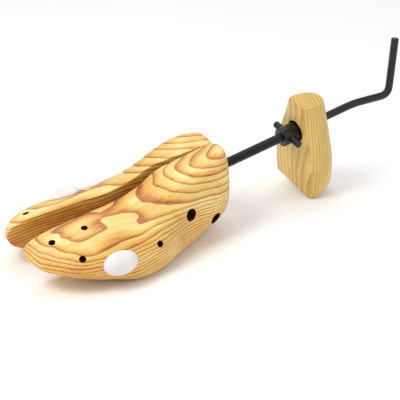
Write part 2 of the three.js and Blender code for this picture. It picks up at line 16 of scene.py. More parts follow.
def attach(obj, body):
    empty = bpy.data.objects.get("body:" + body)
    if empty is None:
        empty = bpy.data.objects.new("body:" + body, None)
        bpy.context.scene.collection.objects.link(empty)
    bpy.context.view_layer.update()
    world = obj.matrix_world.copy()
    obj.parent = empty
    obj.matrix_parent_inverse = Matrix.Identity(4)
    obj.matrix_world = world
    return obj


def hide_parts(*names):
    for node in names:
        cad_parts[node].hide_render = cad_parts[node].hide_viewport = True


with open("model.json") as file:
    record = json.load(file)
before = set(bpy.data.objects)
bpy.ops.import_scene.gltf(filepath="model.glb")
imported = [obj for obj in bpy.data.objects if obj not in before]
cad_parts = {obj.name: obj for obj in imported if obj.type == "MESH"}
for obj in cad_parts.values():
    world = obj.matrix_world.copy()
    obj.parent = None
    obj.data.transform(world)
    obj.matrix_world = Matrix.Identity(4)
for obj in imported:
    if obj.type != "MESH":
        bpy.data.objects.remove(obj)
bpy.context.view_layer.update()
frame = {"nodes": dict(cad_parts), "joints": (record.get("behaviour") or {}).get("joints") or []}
JOINTS = {joint["name"]: joint for joint in frame["joints"]}
NODES = frame["nodes"]

MM = 0.001
DEG = math.pi / 180

# Edges that turn by more than this many degrees stay sharp.
WOOD_SHARP, STEEL_SHARP, PLASTIC_SHARP = 38, 42, 35

# ---------------------------------------------------------------- camera, floor and light

AIM = Vector((-0.0170, 0.0032, 0.0227))
VIEW_AZIMUTH = -32 * DEG
VIEW_ELEVATION = 26 * DEG
VIEW_DISTANCE = 1.0
LENS = 112.5
NEAREST_SEEN = 0.05

# Name, azimuth and elevation in degrees, distance and size in metres, power in watts, tint.
LIGHTS = [
    ("key", -80, 50, 1.1, 0.5, 5.4, (1, 0.985, 0.96)),
    ("fill", 40, 35, 1.4, 1.0, 1.6, (1, 1, 1)),
    ("top", 160, 70, 1.2, 0.8, 2.6, (1, 1, 1)),
]
LIGHT_TARGET = Vector((0, 0, 0.05))
WORLD_STRENGTH = 0.68
FLOOR_REACH = 6.0
FLOOR_DROP = 0.0002


def towards(azimuth, elevation):
    """Unit vector from the object to a viewer; azimuth 0 is in front, on -Y."""
    flat = math.cos(elevation)
    return Vector((math.sin(azimuth) * flat, -math.cos(azimuth) * flat, math.sin(elevation)))


def look_from(obj, direction, distance, target):
    obj.location = target + direction * distance
    obj.rotation_euler = direction.to_track_quat("Z", "Y").to_euler()
    bpy.context.scene.collection.objects.link(obj)


def add_camera():
    data = bpy.data.cameras.new("camera")
    data.lens = LENS
    data.clip_start = NEAREST_SEEN
    camera = bpy.data.objects.new("camera", data)
    look_from(camera, towards(VIEW_AZIMUTH, VIEW_ELEVATION), VIEW_DISTANCE, AIM)
    bpy.context.scene.camera = camera


def add_light(name, azimuth, elevation, distance, size, power, tint):
    data = bpy.data.lights.new(name, "AREA")
    data.shape = "DISK"
    data.size = size
    data.energy = power
    data.color = tint
    light = bpy.data.objects.new(name, data)
    look_from(light, towards(azimuth * DEG, elevation * DEG), distance, LIGHT_TARGET)


def add_world():
    scene = bpy.context.scene
    scene.view_settings.view_transform = "Standard"
    world = bpy.data.worlds.new("studio")
    world.use_nodes = True
    background = world.node_tree.nodes["Background"]
    background.inputs["Color"].default_value = (1, 1, 1, 1)
    background.inputs["Strength"].default_value = WORLD_STRENGTH
    scene.world = world


def add_floor():
    low, high = -FLOOR_REACH, FLOOR_REACH
    mesh = bpy.data.meshes.new("floor")
    corners = [(low, low, 0), (high, low, 0), (high, high, 0), (low, high, 0)]
    mesh.from_pydata(corners, [], [(0, 1, 2, 3)])
    floor = bpy.data.objects.new("floor", mesh)
    floor.location.z = -FLOOR_DROP
    bpy.context.scene.collection.objects.link(floor)
    mesh.materials.append(floor_paint())


# ---------------------------------------------------------------- material helpers


def linear(hex_colour):
    """A linear colour from a usual #rrggbb one."""
    out = []
    for i in (1, 3, 5):
        value = int(hex_colour[i:i + 2], 16) / 255
        out.append(value / 12.92 if value <= 0.04045 else ((value + 0.055) / 1.055) ** 2.4)
    return (*out, 1.0)


class Maker:
    """A short way to write a node material."""

    def __init__(self, name):
        self.material = bpy.data.materials.new(name)
        self.material.use_nodes = True
        self.tree = self.material.node_tree
        self.shader = self.tree.nodes["Principled BSDF"]

    def node(self, kind, **settings):
        made = self.tree.nodes.new(kind)
        for key, value in settings.items():
            setattr(made, key, value)
        return made

    def feed(self, socket, value):
        if isinstance(value, bpy.types.NodeSocket):
            self.tree.links.new(value, socket)
        else:
            socket.default_value = value

    def math(self, operation, a, b=0.0, c=0.0, clamp=False):
        made = self.node("ShaderNodeMath", operation=operation, use_clamp=clamp)
        for socket, value in zip(made.inputs, (a, b, c)):
            self.feed(socket, value)
        return made.outputs[0]

    def add(self, *values):
        """The sum of two or more values."""
        total = values[0]
        for value in values[1:]:
            total = self.math("ADD", total, value)
        return total

    def times(self, a, b):
        return self.math("MULTIPLY", a, b)

    def sway(self, noise, amount):
        """A noise from 0 to 1 as a change either way, of up to half the amount."""
        return self.times(self.math("SUBTRACT", noise, 0.5), amount)

    def place(self, scale=(1, 1, 1), offset=(0, 0, 0)):
        """The point on the piece in millimetres, stretched by scale after the offset."""
        coords = self.node("ShaderNodeTexCoord").outputs["Object"]
        made = self.node("ShaderNodeVectorMath", operation="MULTIPLY_ADD")
        self.feed(made.inputs[0], coords)
        made.inputs[1].default_value = [s / MM for s in scale]
        made.inputs[2].default_value = [o * s for o, s in zip(offset, scale)]
        return made.outputs[0]

    def parts(self, place):
        """The X, Y and Z of a place."""
        made = self.node("ShaderNodeSeparateXYZ")
        self.feed(made.inputs[0], place)
        return made.outputs

    def noise(self, at, scale, detail=2.0, rough=0.5):
        made = self.node("ShaderNodeTexNoise")
        self.feed(made.inputs["Vector"], at)
        made.inputs["Scale"].default_value = scale
        made.inputs["Detail"].default_value = detail
        made.inputs["Roughness"].default_value = rough
        return made.outputs[0]

    def ramp(self, value, stops):
        made = self.node("ShaderNodeValToRGB")
        elements = made.color_ramp.elements
        while len(elements) < len(stops):
            elements.new(0.5)
        for element, (position, colour) in zip(elements, stops):
            element.position = position
            element.color = linear(colour)
        self.feed(made.inputs[0], value)
        return made.outputs[0]

    def mix(self, amount, a, b):
        """Colour a where the amount is 0, and colour b where it is 1."""
        made = self.node("ShaderNodeMix", data_type="RGBA")
        self.feed(made.inputs[0], amount)
        self.feed(made.inputs[6], a)
        self.feed(made.inputs[7], b)
        return made.outputs[2]

    def spread(self, value, low, high, to_low=0.0, to_high=1.0):
        """A smooth step: to_low where the value is low, to_high where it is high."""
        made = self.node("ShaderNodeMapRange", interpolation_type="SMOOTHSTEP")
        for socket, number in zip(made.inputs, (value, low, high, to_low, to_high)):
            self.feed(socket, number)
        return made.outputs[0]

    def bump(self, height, strength, distance):
        made = self.node("ShaderNodeBump")
        made.inputs["Strength"].default_value = strength
        made.inputs["Distance"].default_value = distance * MM
        self.feed(made.inputs["Height"], height)
        self.tree.links.new(made.outputs[0], self.shader.inputs["Normal"])

    def set(self, **values):
        for name, value in values.items():
            self.feed(self.shader.inputs[name.replace("_", " ")], value)
        return self.material



# ---------------------------------------------------------------- materials


def floor_paint():
    make = Maker("floor_paint")
    shade = make.noise(make.place(), 0.004, 1.0)
    colour = make.ramp(shade, [(0.3, "#fdfdfd"), (0.7, "#ffffff")])
    return make.set(Base_Color=colour, Roughness=0.9)


PINE_STOPS = [
    (0.00, "#f0e2a6"), (0.15, "#e8cb7a"), (0.34, "#deb055"), (0.54, "#cf9038"),
    (0.76, "#b86a28"), (1.00, "#8a4418"),
]
PINE_BASE_DARK = 0.15
# Near-black painted shade inside the bored holes and wells.
BORE_SHADE_COLOUR = "#28140a"
# The growth layers: their widths, how far they wander, their rise away from the parting plane,
# the arch they make under the instep, and their fall towards the toe.
WIDE_LAYER, NARROW_LAYER = 4.6, 2.5
LAYER_WANDER, LAYER_UNEVENNESS, LAYER_RAGGEDNESS = 7.0, 1.4, 0.3
SIDEWAYS_RISE = 0.23
ARCH_X, ARCH_REACH, ARCH_RISE = -68.0, 34.0, 5.0
TOE_X, TOE_FALL = -115.0, 0.07
# How strongly each thing darkens the pine; the low darkening is painted shade towards the bottom, and
# the inner and the cut darkening are painted shade with some of the cut wood's deeper tone.
LATE_DARK, BAND_DARK, LINE_DARK = 0.27, 0.2, 0.16
CLOUD_DARK, FIBRE_DARK, LOW_SHADE_DARK, GAP_SHADE_AND_TONE_DARK, CUT_SHADE_AND_TONE_DARK = 0.62, 0.62, 0.14, 0.14, 0.5
# Where the low painted shade and the painted shade by the parting gap start and are full: by level, by
# Y and by height.
LOW_START, LOW_FULL = 6.0, -14.0
INNER_START_Y, INNER_FULL_Y = 15.0, 6.0
INNER_START_Z, INNER_FULL_Z = 66.0, 50.0


def pine_level(make, seed):
    """A point's height among the growth layers."""
    x, y, z = make.parts(make.place())
    warp = make.noise(make.place((0.5, 1, 1), (seed, 0, seed)), 0.045, 1.5)
    from_top = make.math("DIVIDE", make.add(x, -ARCH_X), ARCH_REACH)
    bell = make.math("EXPONENT", make.times(make.times(from_top, from_top), -1.0))
    fall = make.times(make.math("MINIMUM", make.add(x, -TOE_X), 0.0), TOE_FALL)
    risen = make.math("MULTIPLY_ADD", make.math("ABSOLUTE", y), SIDEWAYS_RISE, z)
    level = make.add(risen, make.sway(warp, LAYER_WANDER))
    return make.math("SUBTRACT", level, make.add(make.times(bell, ARCH_RISE), fall))


def pine_layer(make, level, turn, seed):
    """How far into its growth layer a point is, from 0 to 1."""
    over = make.math("SUBTRACT", level, turn)
    wide = make.math("DIVIDE", make.math("MAXIMUM", over, 0.0), WIDE_LAYER)
    narrow = make.math("DIVIDE", make.math("MINIMUM", over, 0.0), NARROW_LAYER)
    at_level = make.node("ShaderNodeCombineXYZ")
    make.feed(at_level.inputs[2], level)
    uneven = make.times(make.noise(at_level.outputs[0], 0.17, 1.0), LAYER_UNEVENNESS)
    layer = make.math("FRACT", make.add(wide, narrow, uneven))
    ragged = make.noise(make.place((0.12, 1, 1), (seed, 0, 0)), 0.5, 3.0, 0.65)
    return make.add(layer, make.sway(ragged, LAYER_RAGGEDNESS))


def late_wood(make, layer):
    """Darkness of the late wood at a layer's start, with a thin line inside it."""
    late = make.times(make.spread(layer, 0.75, 0.02), LATE_DARK)
    band = make.times(make.spread(layer, 0.34, 0.06), BAND_DARK)
    line = make.times(make.spread(layer, 0.17, 0.07), make.spread(layer, -0.06, 0.05))
    early = make.spread(layer, 1.02, 0.86)
    return make.add(make.times(make.add(late, band), early), make.times(line, LINE_DARK))


def pine(name, turn, seed):
    """Varnished pine, cut so that its growth layers lie nearly level and arch along the form.
    Layers are wide above the height turn and narrow below it."""
    make = Maker(name)
    _, y, z = make.parts(make.place())
    level = pine_level(make, seed)
    dark = late_wood(make, pine_layer(make, level, turn, seed))
    cloud = make.noise(make.place((0.3, 1, 1), (seed, seed, 0)), 0.07, 2.0)
    fibre = make.noise(make.place((0.06, 1, 1), (seed, 0, 0)), 1.0, 3.0, 0.65)
    # Painted shade: the wood darkens towards the bottom.
    low = make.times(make.spread(level, turn + LOW_START, turn + LOW_FULL), LOW_SHADE_DARK)
    # Painted shade by the parting gap, low on the form and near Y = 0, with some of the cut wood's
    # deeper tone.
    inner = make.spread(make.math("ABSOLUTE", y), INNER_START_Y, INNER_FULL_Y)
    inner = make.times(make.times(inner, GAP_SHADE_AND_TONE_DARK), make.spread(z, INNER_START_Z, INNER_FULL_Z))
    # Each face's mark: painted near-black shade in the bores, and on the parting face painted shade
    # with some of the cut wood's deeper tone.
    cut = make.node("ShaderNodeAttribute", attribute_name="cut_shade_and_tone").outputs["Fac"]
    dark = make.add(dark, make.sway(cloud, CLOUD_DARK), make.sway(fibre, FIBRE_DARK), low, inner)
    dark = make.add(dark, make.times(cut, CUT_SHADE_AND_TONE_DARK))
    dark = make.math("ADD", dark, PINE_BASE_DARK, clamp=True)
    # Only the bores reach the near-black painted shade colour.
    bored = make.spread(cut, 0.5, 1.0, 0.0, 0.85)
    colour = make.mix(bored, make.ramp(dark, PINE_STOPS), linear(BORE_SHADE_COLOUR))
    make.bump(make.add(fibre, make.times(dark, -0.6)), 0.16, 0.15)
    rough = make.spread(dark, 0.0, 1.0, 0.5, 0.38)
    return make.set(Base_Color=colour, Roughness=rough, Coat_Weight=0.18, Coat_Roughness=0.32)


BLOCK_STOPS = [(0.0, "#e8d088"), (0.35, "#d9b660"), (0.65, "#c29642"), (1.0, "#8f6528")]
BLOCK_BASE_DARK = 0.3
# The heart of the tree that the heel block was cut from, and the width of its growth layers.
HEART_X, HEART_Y, HEART_LEAN = 150.0, -22.0, 0.1
BLOCK_LAYER, BLOCK_WANDER = 2.9, 9.0


def block_wood(name):
    """Calmer wood: its layers stand nearly upright and run along the block's height."""
    make = Maker(name)
    x, y, z = make.parts(make.place())
    warp = make.noise(make.place((1, 1, 0.25), (5, 3, 9)), 0.03, 2.0)
    from_heart = make.math("SUBTRACT", make.add(x, make.times(z, HEART_LEAN)), HEART_X)
    sideways = make.add(y, -HEART_Y)
    square = make.add(make.times(from_heart, from_heart), make.times(sideways, sideways))
    radius = make.add(make.math("SQRT", square), make.sway(warp, BLOCK_WANDER))
    layer = make.math("FRACT", make.math("DIVIDE", radius, BLOCK_LAYER))
    late = make.times(make.math("POWER", layer, 2.4), make.spread(layer, 0.9, 1.0, 1.0, 0.3))
    fibre = make.noise(make.place((1, 1, 0.04), (3, 1, 0)), 1.2, 3.0, 0.6)
    cloud = make.noise(make.place((1, 1, 0.4)), 0.05, 2.0)
    dark = make.add(make.times(late, 0.5), make.sway(fibre, 0.4), make.sway(cloud, 0.5))
    dark = make.math("ADD", dark, BLOCK_BASE_DARK, clamp=True)
    make.bump(fibre, 0.1, 0.12)
    colour = make.ramp(dark, BLOCK_STOPS)
    return make.set(Base_Color=colour, Roughness=0.42, Coat_Weight=0.15, Coat_Roughness=0.3)


def steel(name, colours, roughness, metallic, speck, coat=0.0):
    """Worn metal, or enamel on it, between two colours; a higher speck makes the wear finer."""
    make = Maker(name)
    wear = make.noise(make.place(), speck, 4.0, 0.65)
    smear = make.noise(make.place((0.3, 1, 1)), 0.12, 2.0)
    shade = make.times(make.add(wear, smear), 0.5)
    colour = make.ramp(shade, [(0.35, colours[0]), (0.65, colours[1])])
    rough = make.spread(wear, 0.3, 0.7, roughness - 0.07, roughness + 0.08)
    make.bump(wear, 0.06, 0.08)
    return make.set(Base_Color=colour, Roughness=rough, Metallic=metallic, Coat_Weight=coat)


def plastic(name):
    make = Maker(name)
    mottle = make.noise(make.place(), 0.09, 3.0)
    colour = make.ramp(mottle, [(0.3, "#e4dad9"), (0.7, "#eee8e7")])
    grain = make.noise(make.place(), 1.6, 2.0)
    make.bump(grain, 0.03, 0.05)
    rough = make.spread(mottle, 0.2, 0.8, 0.26, 0.34)
    return make.set(Base_Color=colour, Roughness=rough, Subsurface_Weight=0.06)


# ---------------------------------------------------------------- the rod frame

SPIN_AXIS = Vector(JOINTS["crank_spin"]["axis"])
HINGE_POINT = Vector(JOINTS["near_half_swing"]["pos_m"]) / MM
TILT = math.atan2(SPIN_AXIS.z, SPIN_AXIS.x)
HINGE_U = -11.0
REST_SWING = 4.8 * DEG
MOST_SWING = 6.9 * DEG
FACE_CLEARANCE = 0.2
HINGE = Matrix.Translation(HINGE_POINT) @ Matrix.Rotation(-TILT, 4, "Y")
ROD = HINGE @ Matrix.Translation((-HINGE_U, 0, 0))
REAR = ROD.translation
# The form's own frame: its rear end at X = 0, its parting plane on Y = 0.
FORM = Matrix.Translation((REAR.x, REAR.y, 0))


def swung(mirror):
    """Takes a place on the closed near half to where it is at rest, or to the far half."""
    way = -1 if mirror else 1
    swing = Matrix.Rotation(way * REST_SWING, 4, "Z")
    return HINGE @ swing @ Matrix.Diagonal((1, way, 1, 1))


# ---------------------------------------------------------------- mesh helpers


def new_object(name, points, faces, matrix=None):
    """An object whose mesh is in row-frame metres, from points in millimetres."""
    mesh = bpy.data.meshes.new(name)
    mesh.from_pydata([tuple(p) for p in points], [], faces)
    if matrix is not None:
        mesh.transform(matrix)
    mesh.transform(Matrix.Scale(MM, 4))
    shell = bmesh.new()
    shell.from_mesh(mesh)
    bmesh.ops.recalc_face_normals(shell, faces=shell.faces)
    shell.to_mesh(mesh)
    shell.free()
    made = bpy.data.objects.new(name, mesh)
    bpy.context.scene.collection.objects.link(made)
    return made



def skin(rings, start=None, end=None):
    """Points and faces of a closed skin over rings of equal length, capped by a point or flat."""
    size = len(rings[0])
    points = [p for ring in rings for p in ring]
    faces = []
    for i in range(len(rings) - 1):
        for j in range(size):
            k = (j + 1) % size
            faces.append((i * size + j, i * size + k, (i + 1) * size + k, (i + 1) * size + j))
    for tip, base in ((start, 0), (end, (len(rings) - 1) * size)):
        if tip is None:
            faces.append(tuple(range(base, base + size)))
            continue
        points.append(tip)
        faces += [(len(points) - 1, base + j, base + (j + 1) % size) for j in range(size)]
    return points, faces


def once_round(sides):
    """Evenly spaced angles of a full turn."""
    return [2 * math.pi * j / sides for j in range(sides)]


def turned(outline, sides=64):
    """Points and faces of a piece turned about the X axis, from (place along X, radius) pairs."""
    rings = []
    for along, radius in outline:
        rings.append([(along, radius * math.cos(t), radius * math.sin(t)) for t in once_round(sides)])
    return skin(rings)


def rounded_end(place, radius, edge, way, steps=5):
    """The outline of a round edge that ends a turned piece; way is +1 at its high end."""
    arc = []
    for i in range(steps + 1):
        t = math.pi / 2 * i / steps
        arc.append((place - way * edge * (1 - math.sin(t)), radius - edge * (1 - math.cos(t))))
    return arc if way > 0 else arc[::-1]


def bar(low, high, radius, sides=48, edge=0.0):
    """A turned bar along X."""
    if not edge:
        return turned([(low, radius), (high, radius)], sides)
    return turned(rounded_end(low, radius, edge, -1) + rounded_end(high, radius, edge, 1), sides)


def laid_across(shape, along, way=1):
    """A piece turned about X, laid along Y at a place along X; way -1 points it towards -Y."""
    points, faces = shape
    return [(along + p[1], way * p[0], p[2]) for p in points], faces


def upright_bar(radius, low, high, sides=32):
    """A bar along Z."""
    points, faces = bar(low, high, radius, sides)
    return [(p[1], p[2], p[0]) for p in points], faces


def brick(low, high):
    """Points and faces of a box between two corners."""
    spans = list(zip(low, high))
    corners = [(x, y, z) for x in spans[0] for y in spans[1] for z in spans[2]]
    faces = [(0, 1, 3, 2), (4, 6, 7, 5), (0, 4, 5, 1), (2, 3, 7, 6), (0, 2, 6, 4), (1, 5, 7, 3)]
    return corners, faces


def keep_change(piece):
    """Makes what the piece's modifier does part of its mesh."""
    bpy.context.view_layer.update()
    seen = piece.evaluated_get(bpy.context.evaluated_depsgraph_get())
    mesh = bpy.data.meshes.new_from_object(seen)
    piece.modifiers.clear()
    piece.data = mesh


def carve(piece, operation, tools):
    """Cuts tools, as (points, faces, matrix), out of a piece, or joins them to it."""
    for points, faces, matrix in tools:
        tool = new_object("tool", points, faces, matrix)
        change = piece.modifiers.new("carve", "BOOLEAN")
        change.operation = operation
        change.solver = "MANIFOLD"
        change.object = tool
        keep_change(piece)
        bpy.data.objects.remove(tool)


def round_edges(piece, width, angle, segments=3):
    """Rounds the edges where the piece's faces turn by more than the angle."""
    change = piece.modifiers.new("round", "BEVEL")
    change.width = width * MM
    change.segments = segments
    change.limit_method = "ANGLE"
    change.angle_limit = angle * DEG
    keep_change(piece)


def finish_piece(piece, body, nodes, material, angle):
    """Gives a piece its material and its place in the part; edges over the angle stay sharp."""
    mesh = piece.data
    mesh.name = piece.name
    mesh.materials.clear()
    mesh.materials.append(material)
    mesh.shade_smooth()
    mesh.set_sharp_from_angle(angle=angle * DEG)
    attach(piece, body)
    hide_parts(*nodes)


# ---------------------------------------------------------------- foot form

FORM_LENGTH = 180.0
# Pairs of a distance from the rear end and the value there.
TOP_LINE = [
    (0, 72.3), (14, 70.2), (40, 66), (60, 62.2), (80, 52.6), (99, 47), (128, 43.5), (160, 39.5),
    (180, 34.5),
]
SOLE_LINE = [(0, 0), (12, -0.8), (110, -0.8), (130, 0.6), (150, 6.5), (166, 14), (180, 21)]
HALF_WIDTH = [
    (0, 24.5), (26, 32.5), (46, 34.2), (66, 39), (86, 46.8), (108, 49.5), (132, 46.5), (154, 40.8),
    (180, 34),
]
WIDEST_HEIGHT = [(0, 37.5), (32, 29.5), (72, 21.5), (112, 17.2), (142, 18.2), (180, 19.2)]
TOP_FULLNESS = [(0, 2.2), (36, 3.9), (62, 2.3), (102, 1.86), (180, 1.9)]
REAR_CROWN = [(0, 0), (14, 7.5), (40, 4.4), (66, 0)]
SOLE_FULLNESS = [(0, 2.2), (30, 1.9), (55, 3.2), (100, 5.2), (132, 2.5), (180, 1.9)]
# How a section shrinks into the rounded ends: the height it shrinks to, and over what length.
REAR_HEIGHT = 42.0
REAR_PLAN, REAR_TOP, REAR_SOLE = 16.0, 11.5, 41.0
NOSE_HEIGHT = 28.0
NOSE_PLAN, NOSE_SIDE, NOSE_FULLNESS = 34.0, 6.0, 2.1
END_TRIM = 0.05
# The rounding where the outside meets the flat face, and its share of a small section at most.
EDGE_ROUND = 0.9
EDGE_OF_HEIGHT, EDGE_OF_WIDTH = 0.12, 0.3


def profile(points, at):
    """Smooth curve through the given points that never overshoots them."""
    last = len(points) - 1
    grade = [(points[i + 1][1] - points[i][1]) / (points[i + 1][0] - points[i][0]) for i in range(last)]
    slopes = [grade[0]]
    for left, right in zip(grade, grade[1:]):
        slopes.append(2 * left * right / (left + right) if left * right > 0 else 0.0)
    slopes.append(grade[-1])
    i = next((k for k in range(last) if at <= points[k + 1][0]), last - 1)
    span = points[i + 1][0] - points[i][0]
    t = min(max((at - points[i][0]) / span, 0.0), 1.0)
    ease = t * t * (3 - 2 * t)
    lean = span * t * (1 - t) * ((1 - t) * slopes[i] - t * slopes[i + 1])
    return points[i][1] * (1 - ease) + points[i + 1][1] * ease + lean


def round_off(distance, length, fullness=2.0):
    """Grows from 0 at an end to 1 at a length away from it, as a rounded corner does."""
    t = min(max(distance / length, 0.0), 1.0)
    return (1 - (1 - t) ** fullness) ** (1 / fullness)


def form_section(distance):
    """Heights, width and fullness of the form's section at a distance from its rear end."""
    to_toe = FORM_LENGTH - distance
    if distance < FORM_LENGTH / 2:
        end = REAR_HEIGHT
        upper, lower = round_off(distance, REAR_TOP), round_off(distance, REAR_SOLE)
        plan = round_off(distance, REAR_PLAN)
    else:
        end = NOSE_HEIGHT
        upper = lower = round_off(to_toe, NOSE_SIDE)
        plan = round_off(to_toe, NOSE_PLAN, NOSE_FULLNESS)
    widest = profile(WIDEST_HEIGHT, distance)
    return {
        "top": end + (profile(TOP_LINE, distance) - end) * upper,
        "sole": end + (profile(SOLE_LINE, distance) - end) * lower,
        "widest": end + (widest - end) * (upper if widest > end else lower),
        "width": profile(HALF_WIDTH, distance) * plan,
        "crown": profile(REAR_CROWN, distance),
        "top_power": 2 / profile(TOP_FULLNESS, distance),
        "sole_power": 2 / profile(SOLE_FULLNESS, distance),
    }


def section_point(s, turn):
    """(out, height) on a section; turn runs from 0 on the top line to pi on the sole line."""
    upper = turn <= math.pi / 2
    power = s["top_power"] if upper else s["sole_power"]
    rise = s["top"] - s["widest"] if upper else s["widest"] - s["sole"]
    crown = s["crown"] * math.sin(2 * turn) if upper else 0.0
    cosine = math.cos(turn)
    height = s["widest"] + rise * math.copysign(abs(cosine) ** power, cosine) + crown
    return s["width"] * max(math.sin(turn), 0.0) ** power, height


def form_point(distance, turn):
    """A point on the near side of the form, in the form's frame."""
    out, height = section_point(form_section(distance), turn)
    return Vector((-distance, -out, height))


def face_lean(distance, height):
    """How far the flat face stands back from the parting plane."""
    behind = (-distance) * math.cos(TILT) + (height - REAR.z) * math.sin(TILT) - HINGE_U
    return FACE_CLEARANCE + max(behind, 0.0) * math.tan(MOST_SWING)


def half_ring(distance, arc=64, flat=14, corner=4):
    """One section of a half: round outside, softened edges and a flat inner face."""
    s = form_section(distance)
    tall = s["top"] - s["sole"]
    edge = min(EDGE_ROUND, EDGE_OF_HEIGHT * tall, EDGE_OF_WIDTH * s["width"])

    def start_turn(power, out):
        return math.asin(min((out / max(s["width"], 1e-6)) ** (1 / power), 1.0))

    lean_top, lean_sole = face_lean(distance, s["top"]), face_lean(distance, s["sole"])
    first = start_turn(s["top_power"], edge + lean_top)
    final = math.pi - start_turn(s["sole_power"], edge + lean_sole)
    high = section_point(s, first)[1]
    low = section_point(s, final)[1]
    ring = []
    for i in range(corner):
        t = math.pi / 2 * i / corner
        ring.append((lean_top + edge * (1 - math.cos(t)), high - edge * (1 - math.sin(t))))
    for i in range(arc + 1):
        ring.append(section_point(s, first + (final - first) * i / arc))
    for i in range(1, corner + 1):
        t = math.pi / 2 * i / corner
        ring.append((lean_sole + edge * (1 - math.sin(t)), low + edge * (1 - math.cos(t))))
    inner_low, inner_high = low + edge, high - edge
    for i in range(1, flat):
        height = inner_low + (inner_high - inner_low) * i / flat
        ring.append((face_lean(distance, height), height))
    return [Vector((-distance, -out, height)) for out, height in ring]


def half_shell(stations=150, bunching=0.65):
    """The closed near half as points and faces, in the form's frame; its sections bunch up
    towards both ends."""
    rings = []
    for i in range(stations + 1):
        even = i / stations
        eased = (1 - math.cos(math.pi * even)) / 2
        share = bunching * eased + (1 - bunching) * even
        rings.append(half_ring(END_TRIM + (FORM_LENGTH - 2 * END_TRIM) * share))
    return skin(rings)


def surface_frame(place, step=0.5, turn_step=0.02):
    """Frame on the wood at (distance, turn): X along the form, Z straight out of it."""
    distance, turn = place
    along = form_point(distance + step, turn) - form_point(distance - step, turn)
    around = form_point(distance, turn + turn_step) - form_point(distance, turn - turn_step)
    outward = along.cross(around).normalized()
    across = outward.cross(Vector((1, 0, 0))).normalized()
    lengthwise = across.cross(outward)
    made = Matrix((lengthwise, across, outward)).transposed().to_4x4()
    made.translation = form_point(distance, turn)
    return made


# Places on the form as (distance from the rear end, turn down from the top line).
NEAR_PLUG = (126, 80 * DEG)
FAR_PLUG = (124, 33 * DEG)
NEAR_PEG_HOLES = [(136.5, 21 * DEG), (163.5, 26 * DEG), (151.5, 62 * DEG), (90.5, 76 * DEG)]
FAR_PEG_HOLES = [(160.5, 20 * DEG), (151.5, 62 * DEG), (90.5, 76 * DEG)]
PEG_HOLE_RADIUS, PEG_HOLE_DEPTH, PEG_HOLE_RUN_OUT = 2.65, 12.0, 8
# Wells for the leaf bolts, as (u and w from the hinge axis, how far out the floor is).
BOLT_WELLS = [((-44.6, -3.4), -16.0), ((-20.3, -21.5), -14.0)]
WELL_RADIUS, WELL_RUN_OUT = 5.0, 45
# Rooms for the hidden hardware, as low and high corners from the hinge axis.
HINGE_ROOM = (-7, -10, -16), (6, 1, 16)
LEAF_ROOM = (-48.5, -10, -15.5), (-0.1, 1.1, 13)
LEAF_TAIL_ROOM = (-26.8, -10.1, -28), (-13.8, 1.2, 0.1)
CROSSHEAD_ROOM = (-64, -11, -10.3), (-48, 1.3, 10.3)
LINK_ROOM_U, LINK_ROOM_V = (-84, -58), (-21, 1.4)
LINK_ROOM_NEAR_W, LINK_ROOM_FAR_W = (-7.6, 10.2), (-10.2, 7.6)
ROD_ROOM_U, ROD_ROOM_RADIUS = (-62, 40), 6.3
# What is cut away under the soles.
BELOW_SOLES = (-400, -400, -80), (400, 400, 0)
# How dark the flat parting face is painted: partly painted shade, partly the cut wood's deeper tone.
PARTING_SHADE_AND_TONE = 0.4


def hardware_room(mirror):
    """Room inside a half for the hinge, the spindle and the links, from the hinge axis."""
    low, high = zip(LINK_ROOM_U, LINK_ROOM_V, LINK_ROOM_FAR_W if mirror else LINK_ROOM_NEAR_W)
    rooms = [HINGE_ROOM, LEAF_ROOM, LEAF_TAIL_ROOM, CROSSHEAD_ROOM, (low, high)]
    return [brick(*corners) for corners in rooms] + [bar(*ROD_ROOM_U, ROD_ROOM_RADIUS)]


def cut_shade_and_tone(piece, face_way, bores):
    """Notes on each face how dark it is painted: 1 in a bore, which is painted shade, and less on the
    flat parting face, which is painted shade with some of the cut wood's deeper tone.
    """
    along_face, across_bore = 0.97, 0.3
    slack, floor_slack = 0.1, 0.2
    marks = piece.data.attributes.new("cut_shade_and_tone", "FLOAT", "FACE")
    inward = [(matrix.inverted(), matrix.col[2].xyz, radius, low) for matrix, radius, low, _ in bores]
    for face, mark in zip(piece.data.polygons, marks.data):
        mark.value = PARTING_SHADE_AND_TONE if face.normal.dot(face_way) > along_face else 0.0
        for matrix, axis, radius, low in inward:
            at = matrix @ (face.center / MM)
            within = at.z > low - slack and math.hypot(at.x, at.y) < radius + slack
            on_wall = abs(face.normal.dot(axis)) < across_bore
            if within and (on_wall or at.z < low + floor_slack):
                mark.value = 1.0


def add_half(name, mirror, peg_places, body, material):
    """A half of the form with its bores, the room inside it and its flat sole."""
    to_hinge = HINGE.inverted() @ FORM
    place = swung(mirror)
    piece = new_object(name, *half_shell(), place @ to_hinge)
    tools = [(*tool, place) for tool in hardware_room(mirror)]
    bores = []
    for (u, w), floor in BOLT_WELLS:
        outwards = Matrix.Translation((u, floor, w)) @ Matrix.Rotation(math.pi / 2, 4, "X")
        bores.append((place @ outwards, WELL_RADIUS, 0, WELL_RUN_OUT))
    for peg in peg_places:
        there = place @ to_hinge @ surface_frame(peg)
        bores.append((there, PEG_HOLE_RADIUS, -PEG_HOLE_DEPTH, PEG_HOLE_RUN_OUT))
    tools += [(*upright_bar(radius, low, high), matrix) for matrix, radius, low, high in bores]
    tools.append((*brick(*BELOW_SOLES), Matrix.Identity(4)))
    carve(piece, "DIFFERENCE", tools)
    cut_shade_and_tone(piece, (place.to_3x3() @ Vector((0, 1, 0))).normalized(), bores)
    finish_piece(piece, body, [name.removesuffix("_look")], material, WOOD_SHARP)


PLUG_LENGTH, PLUG_HEIGHT, PLUG_RISE = 13.8, 9.0, 5.5
PLUG_RIM, PLUG_DOME = 0.8, 1.15
PLUG_GAP = 0.3
PLUG_STEM_RADIUS, PLUG_STEM_LENGTH = 2.3, 9.0


